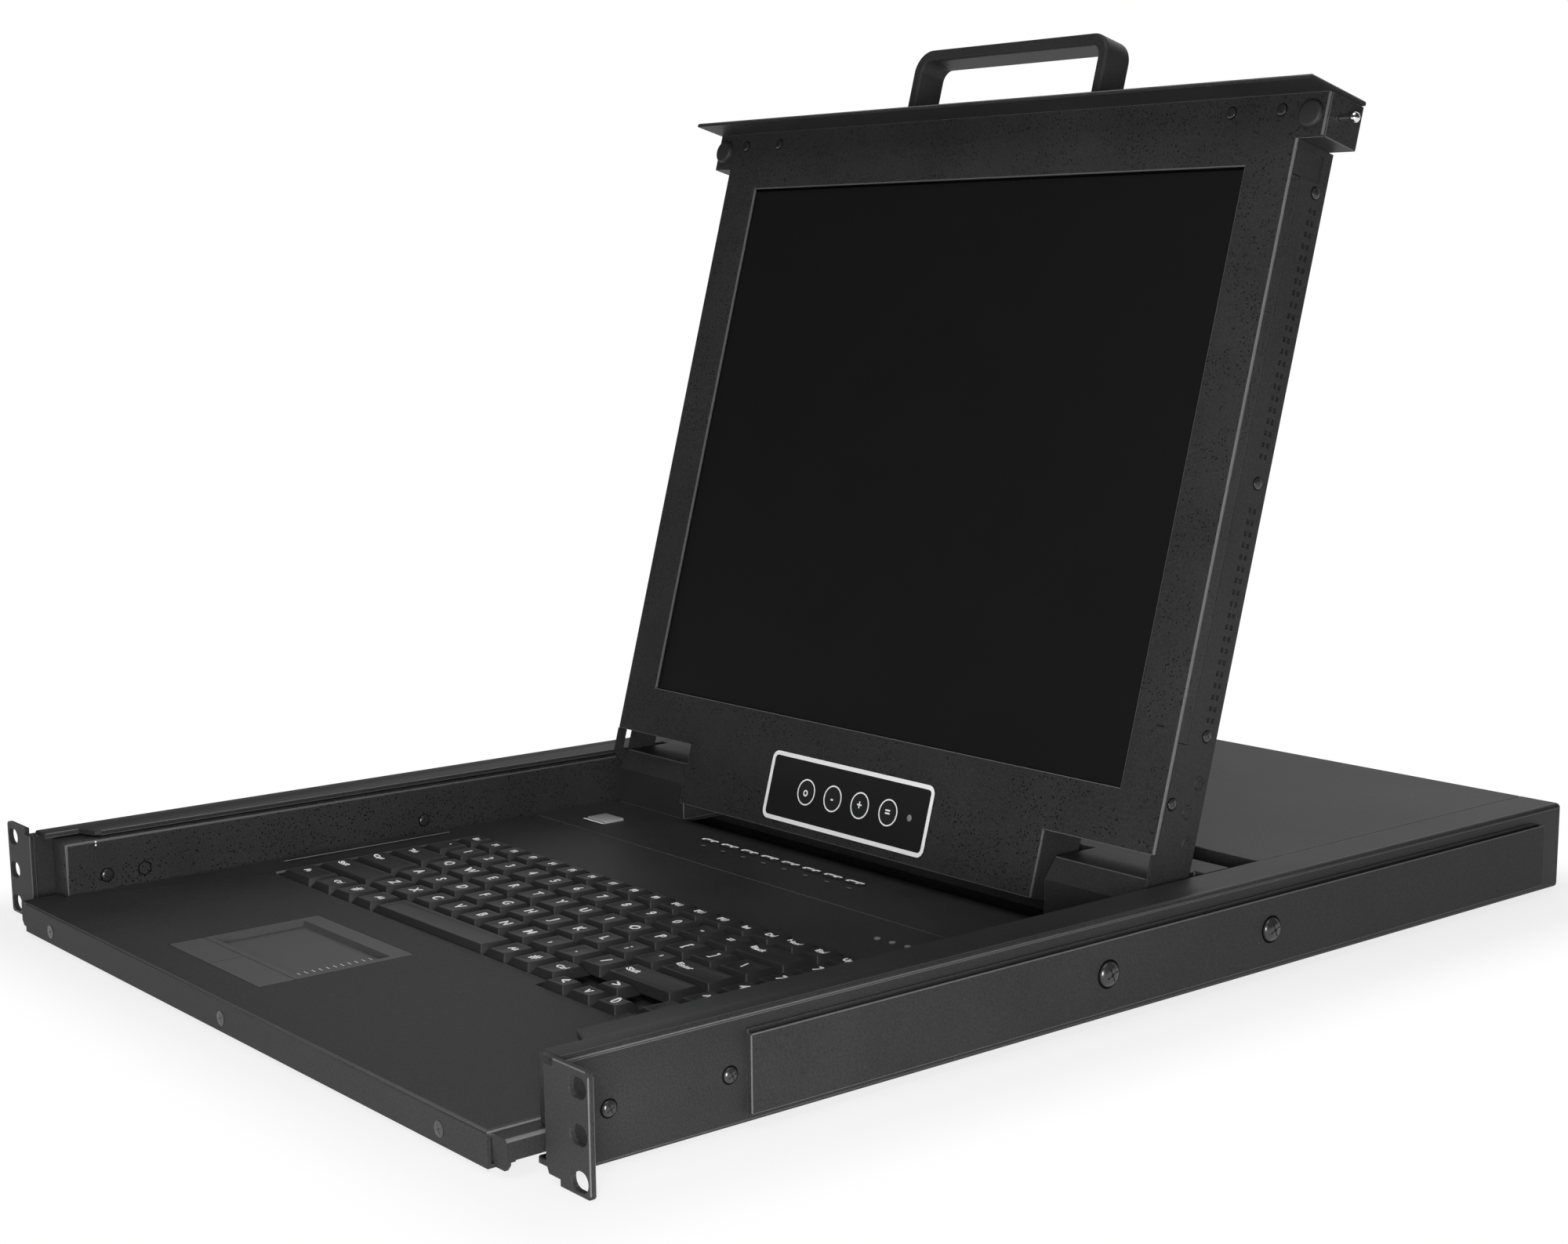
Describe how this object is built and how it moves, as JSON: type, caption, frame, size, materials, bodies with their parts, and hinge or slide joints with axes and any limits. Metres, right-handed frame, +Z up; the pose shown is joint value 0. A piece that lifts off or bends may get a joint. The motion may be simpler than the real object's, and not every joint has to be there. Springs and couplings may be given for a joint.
{
  "type": "rackmount console drawer",
  "caption": "Shallow rack drawer with a keyboard, touchpad and a flat screen that folds down over them, on ball slides between two rack-mount side rails.",
  "frame": {"origin": "centre of the rack bolt pattern on the front faces of the two ears", "axes": "+X to the user's right, +Y back into the rack, +Z up; the drawer pulls out along -Y"},
  "size_m": [0.478, 0.5913, 0.4009],
  "materials": {
    "black_coat": "fine-textured black powder coat",
    "zinc_steel": "zinc-plated steel",
    "chrome_pin": "chrome plated",
    "key_plastic": "matt black plastic",
    "black_plastic": "matt black plastic",
    "grey_plastic": "light grey plastic",
    "screen_face": "dark screen behind a plastic polariser",
    "circuit": "green circuit board",
    "bumper_rubber": "black rubber",
    "film": "black printed film"
  },
  "bodies": {
    "chassis": {"side_rail_right": "black_coat", "side_rail_left": "black_coat", "side_channels": "black_coat", "chassis_screws": "black_coat", "slide_outers": "zinc_steel", "rear_pan": "black_coat", "rear_cover": "black_coat", "power_inlet": "black_plastic", "port_sockets": "zinc_steel", "switch_board": "circuit", "power_supply": "black_coat"},
    "middle_slides": {"slide_middles": "zinc_steel"},
    "drawer": {"drawer_tray": "black_coat", "drawer_floor": "black_coat", "drawer_wall_right": "black_coat", "drawer_wall_left": "black_coat", "tray_screws": "black_coat", "slide_inners": "zinc_steel", "hinge_cover": "black_coat", "hinge_barrels": "zinc_steel", "keyboard_base": "black_plastic", "touchpad": "black_plastic", "panel_board": "circuit"},
    "screen": {"screen_front_frame": "black_coat", "screen_back_shell": "black_coat", "screen_panel": "screen_face", "screen_driver_board": "circuit", "hinge_arms": "zinc_steel", "top_bar": "black_coat", "fascia": "black_coat", "handle": "black_coat", "bumpers": "bumper_rubber", "latch_guides": "black_plastic", "osd_overlay": "film", "osd_board": "circuit", "screen_screws": "black_coat"},
    "latch_pin_right": {"latch_pin_right": "chrome_pin"},
    "latch_pin_left": {"latch_pin_left": "chrome_pin"},
    "keys_function": {"keys_function": "key_plastic"},
    "keys_numbers": {"keys_numbers": "key_plastic"},
    "keys_upper": {"keys_upper": "key_plastic"},
    "keys_home": {"keys_home": "key_plastic"},
    "keys_lower": {"keys_lower": "key_plastic"},
    "keys_bottom": {"keys_bottom": "key_plastic"},
    "space_bar": {"space_bar": "key_plastic"},
    "touchpad_button_left": {"touchpad_button_left": "black_plastic"},
    "touchpad_button_right": {"touchpad_button_right": "black_plastic"},
    "power_button": {"power_button": "grey_plastic"},
    "port_button_1": {"port_button_1": "black_plastic"},
    "port_button_2": {"port_button_2": "black_plastic"},
    "port_button_3": {"port_button_3": "black_plastic"},
    "port_button_4": {"port_button_4": "black_plastic"},
    "port_button_5": {"port_button_5": "black_plastic"},
    "port_button_6": {"port_button_6": "black_plastic"},
    "port_button_7": {"port_button_7": "black_plastic"},
    "port_button_8": {"port_button_8": "black_plastic"},
    "osd_button_1": {"osd_button_1": "black_plastic"},
    "osd_button_2": {"osd_button_2": "black_plastic"},
    "osd_button_3": {"osd_button_3": "black_plastic"},
    "osd_button_4": {"osd_button_4": "black_plastic"}
  },
  "joints": [
    {"name": "drawer_slide", "type": "slide", "parent": "chassis", "child": "drawer", "axis": [0, -1, 0], "range_m": [-0.0075, 0.4]},
    {"name": "middle_slide", "type": "slide", "parent": "chassis", "child": "middle_slides", "axis": [0, -1, 0], "range_m": [-0.00375, 0.2]},
    {"name": "screen_hinge", "type": "hinge", "parent": "drawer", "child": "screen", "pos_m": [0, 0.32775, 0.01327], "axis": [1, 0, 0], "range_deg": [-10, 105.3]},
    {"name": "latch_pin_right_slide", "type": "slide", "parent": "screen", "child": "latch_pin_right", "axis": [-1, 0, 0], "range_m": [0, 0.0055], "stiffness_N_per_m": 909.1, "springref_m": -0.0033},
    {"name": "latch_pin_left_slide", "type": "slide", "parent": "screen", "child": "latch_pin_left", "axis": [1, 0, 0], "range_m": [0, 0.0055], "stiffness_N_per_m": 909.1, "springref_m": -0.0033},
    {"name": "keys_function_press", "type": "slide", "parent": "drawer", "child": "keys_function", "axis": [0, 0, -1], "range_m": [0, 0.002], "stiffness_N_per_m": 4000, "springref_m": -0.0015},
    {"name": "keys_numbers_press", "type": "slide", "parent": "drawer", "child": "keys_numbers", "axis": [0, 0, -1], "range_m": [0, 0.002], "stiffness_N_per_m": 4000, "springref_m": -0.0015},
    {"name": "keys_upper_press", "type": "slide", "parent": "drawer", "child": "keys_upper", "axis": [0, 0, -1], "range_m": [0, 0.002], "stiffness_N_per_m": 4000, "springref_m": -0.0015},
    {"name": "keys_home_press", "type": "slide", "parent": "drawer", "child": "keys_home", "axis": [0, 0, -1], "range_m": [0, 0.002], "stiffness_N_per_m": 4000, "springref_m": -0.0015},
    {"name": "keys_lower_press", "type": "slide", "parent": "drawer", "child": "keys_lower", "axis": [0, 0, -1], "range_m": [0, 0.002], "stiffness_N_per_m": 4000, "springref_m": -0.0015},
    {"name": "keys_bottom_press", "type": "slide", "parent": "drawer", "child": "keys_bottom", "axis": [0, 0, -1], "range_m": [0, 0.002], "stiffness_N_per_m": 4000, "springref_m": -0.0015},
    {"name": "space_bar_press", "type": "slide", "parent": "drawer", "child": "space_bar", "axis": [0, 0, -1], "range_m": [0, 0.002], "stiffness_N_per_m": 250, "springref_m": -0.0016},
    {"name": "touchpad_button_left_press", "type": "slide", "parent": "drawer", "child": "touchpad_button_left", "axis": [0, 0, -1], "range_m": [0, 0.0008], "stiffness_N_per_m": 625, "springref_m": -0.00064},
    {"name": "touchpad_button_right_press", "type": "slide", "parent": "drawer", "child": "touchpad_button_right", "axis": [0, 0, -1], "range_m": [0, 0.0008], "stiffness_N_per_m": 625, "springref_m": -0.00064},
    {"name": "power_button_press", "type": "slide", "parent": "drawer", "child": "power_button", "axis": [0, 0, -1], "range_m": [0, 0.0009], "stiffness_N_per_m": 1000, "springref_m": -0.0006},
    {"name": "port_button_1_press", "type": "slide", "parent": "drawer", "child": "port_button_1", "axis": [0, 0, -1], "range_m": [0, 0.0007], "stiffness_N_per_m": 1142.9, "springref_m": -0.00035},
    {"name": "port_button_2_press", "type": "slide", "parent": "drawer", "child": "port_button_2", "axis": [0, 0, -1], "range_m": [0, 0.0007], "stiffness_N_per_m": 1142.9, "springref_m": -0.00035},
    {"name": "port_button_3_press", "type": "slide", "parent": "drawer", "child": "port_button_3", "axis": [0, 0, -1], "range_m": [0, 0.0007], "stiffness_N_per_m": 1142.9, "springref_m": -0.00035},
    {"name": "port_button_4_press", "type": "slide", "parent": "drawer", "child": "port_button_4", "axis": [0, 0, -1], "range_m": [0, 0.0007], "stiffness_N_per_m": 1142.9, "springref_m": -0.00035},
    {"name": "port_button_5_press", "type": "slide", "parent": "drawer", "child": "port_button_5", "axis": [0, 0, -1], "range_m": [0, 0.0007], "stiffness_N_per_m": 1142.9, "springref_m": -0.00035},
    {"name": "port_button_6_press", "type": "slide", "parent": "drawer", "child": "port_button_6", "axis": [0, 0, -1], "range_m": [0, 0.0007], "stiffness_N_per_m": 1142.9, "springref_m": -0.00035},
    {"name": "port_button_7_press", "type": "slide", "parent": "drawer", "child": "port_button_7", "axis": [0, 0, -1], "range_m": [0, 0.0007], "stiffness_N_per_m": 1142.9, "springref_m": -0.00035},
    {"name": "port_button_8_press", "type": "slide", "parent": "drawer", "child": "port_button_8", "axis": [0, 0, -1], "range_m": [0, 0.0007], "stiffness_N_per_m": 1142.9, "springref_m": -0.00035},
    {"name": "osd_button_1_press", "type": "slide", "parent": "screen", "child": "osd_button_1", "axis": [0, 0.9646, -0.2639], "range_m": [0, 0.0005], "stiffness_N_per_m": 1600, "springref_m": -0.00025},
    {"name": "osd_button_2_press", "type": "slide", "parent": "screen", "child": "osd_button_2", "axis": [0, 0.9646, -0.2639], "range_m": [0, 0.0005], "stiffness_N_per_m": 1600, "springref_m": -0.00025},
    {"name": "osd_button_3_press", "type": "slide", "parent": "screen", "child": "osd_button_3", "axis": [0, 0.9646, -0.2639], "range_m": [0, 0.0005], "stiffness_N_per_m": 1600, "springref_m": -0.00025},
    {"name": "osd_button_4_press", "type": "slide", "parent": "screen", "child": "osd_button_4", "axis": [0, 0.9646, -0.2639], "range_m": [0, 0.0005], "stiffness_N_per_m": 1600, "springref_m": -0.00025}
  ],
  "couplings": [
    {"joint": "middle_slide", "follows": "drawer_slide", "ratio": 0.5}
  ]
}
